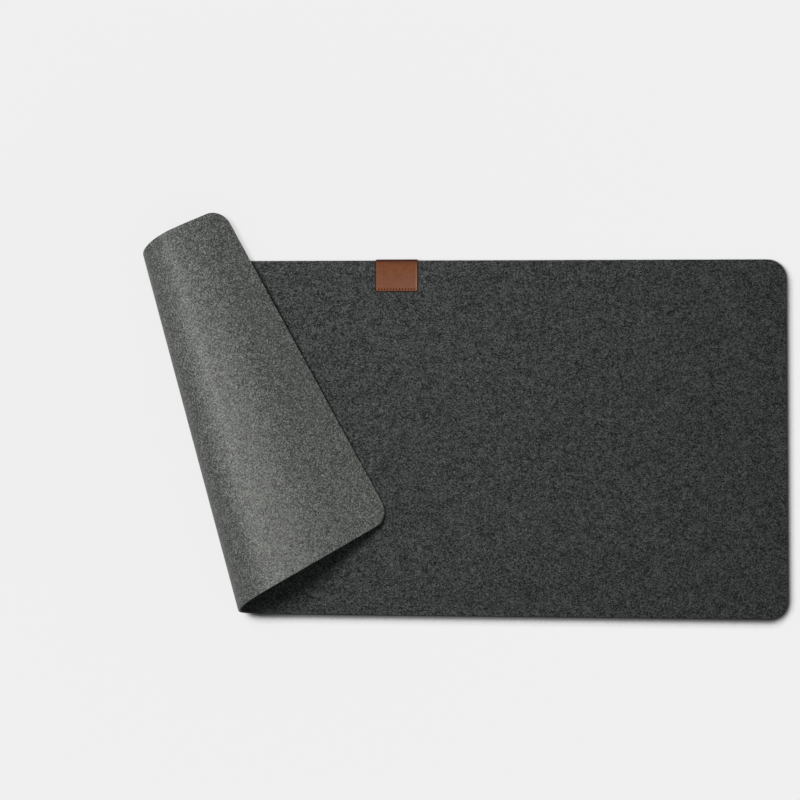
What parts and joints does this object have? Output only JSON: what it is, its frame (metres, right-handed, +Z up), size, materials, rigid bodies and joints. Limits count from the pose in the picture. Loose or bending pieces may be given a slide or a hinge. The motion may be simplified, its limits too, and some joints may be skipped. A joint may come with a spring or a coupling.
{
  "type": "felt desk pad",
  "caption": "Long two-tone felt desk pad with rounded corners, its left end folded over on a slant to show the paler underside, and a leather tag sewn over its far edge.",
  "frame": {"origin": "centre of the unfolded pad, on its underside", "axes": "+X along the pad's length, away from the folded end; +Y across it, towards the edge with the tag; +Z up out of the writing surface"},
  "size_m": [0.7574, 0.475, 0.0728],
  "materials": {
    "charcoal_felt": "matte pressed wool felt, charcoal with paler fibres",
    "grey_felt": "matte pressed wool felt, mid grey with paler fibres",
    "tag_leather": "satin brown leather with a fine grain",
    "stitch_thread": "twisted brown sewing thread, close to the leather's colour"
  },
  "bodies": {
    "pad": {"top_felt_main": "charcoal_felt", "base_felt_main": "grey_felt", "leather_tag": "tag_leather", "needle_thread": "stitch_thread", "bobbin_thread": "stitch_thread"},
    "strip_1": {"top_felt_strip_1": "charcoal_felt", "base_felt_strip_1": "grey_felt"},
    "strip_2": {"top_felt_strip_2": "charcoal_felt", "base_felt_strip_2": "grey_felt"},
    "strip_3": {"top_felt_strip_3": "charcoal_felt", "base_felt_strip_3": "grey_felt"},
    "strip_4": {"top_felt_strip_4": "charcoal_felt", "base_felt_strip_4": "grey_felt"},
    "strip_5": {"top_felt_strip_5": "charcoal_felt", "base_felt_strip_5": "grey_felt"},
    "strip_6": {"top_felt_strip_6": "charcoal_felt", "base_felt_strip_6": "grey_felt"},
    "strip_7": {"top_felt_strip_7": "charcoal_felt", "base_felt_strip_7": "grey_felt"},
    "strip_8": {"top_felt_strip_8": "charcoal_felt", "base_felt_strip_8": "grey_felt"},
    "strip_9": {"top_felt_strip_9": "charcoal_felt", "base_felt_strip_9": "grey_felt"},
    "flap": {"top_felt_flap": "charcoal_felt", "base_felt_flap": "grey_felt"}
  },
  "joints": [
    {"name": "bend_1", "type": "hinge", "parent": "pad", "child": "strip_1", "pos_m": [-0.1685, -0.21, 0], "axis": [0.2873, -0.9578, 0], "range_deg": [0, 20.53]},
    {"name": "bend_2", "type": "hinge", "parent": "strip_1", "child": "strip_2", "pos_m": [-0.17397, -0.2099, 0.00195], "axis": [0.2834, -0.959, 0.0015], "range_deg": [0, 20.53]},
    {"name": "bend_3", "type": "hinge", "parent": "strip_2", "child": "strip_3", "pos_m": [-0.18027, -0.20935, 0.00708], "axis": [0.2789, -0.9603, 0.0056], "range_deg": [0, 20.53]},
    {"name": "bend_4", "type": "hinge", "parent": "strip_3", "child": "strip_4", "pos_m": [-0.18568, -0.20785, 0.0159], "axis": [0.2753, -0.9613, 0.0126], "range_deg": [0, 20.53]},
    {"name": "bend_5", "type": "hinge", "parent": "strip_4", "child": "strip_5", "pos_m": [-0.1883, -0.20485, 0.02805], "axis": [0.2739, -0.9615, 0.0223], "range_deg": [0, 20.53]},
    {"name": "bend_6", "type": "hinge", "parent": "strip_5", "child": "strip_6", "pos_m": [-0.18638, -0.19989, 0.0422], "axis": [0.2763, -0.9605, 0.0336], "range_deg": [0, 20.53]},
    {"name": "bend_7", "type": "hinge", "parent": "strip_6", "child": "strip_7", "pos_m": [-0.17883, -0.19271, 0.05618], "axis": [0.2833, -0.958, 0.0449], "range_deg": [0, 20.53]},
    {"name": "bend_8", "type": "hinge", "parent": "strip_7", "child": "strip_8", "pos_m": [-0.16544, -0.18337, 0.06731], "axis": [0.2951, -0.954, 0.054], "range_deg": [0, 20.53]},
    {"name": "bend_9", "type": "hinge", "parent": "strip_8", "child": "strip_9", "pos_m": [-0.14716, -0.17229, 0.07286], "axis": [0.3109, -0.9486, 0.0587], "range_deg": [0, 20.53]},
    {"name": "bend_10", "type": "hinge", "parent": "strip_9", "child": "flap", "pos_m": [-0.12604, -0.16027, 0.07053], "axis": [0.3292, -0.9425, 0.057], "range_deg": [0, 20.53]}
  ],
  "couplings": [
    {"joint": "bend_2", "follows": "bend_1", "ratio": 1},
    {"joint": "bend_3", "follows": "bend_1", "ratio": 1},
    {"joint": "bend_4", "follows": "bend_1", "ratio": 1},
    {"joint": "bend_5", "follows": "bend_1", "ratio": 1},
    {"joint": "bend_6", "follows": "bend_1", "ratio": 1},
    {"joint": "bend_7", "follows": "bend_1", "ratio": 1},
    {"joint": "bend_8", "follows": "bend_1", "ratio": 1},
    {"joint": "bend_9", "follows": "bend_1", "ratio": 1},
    {"joint": "bend_10", "follows": "bend_1", "ratio": 1}
  ]
}
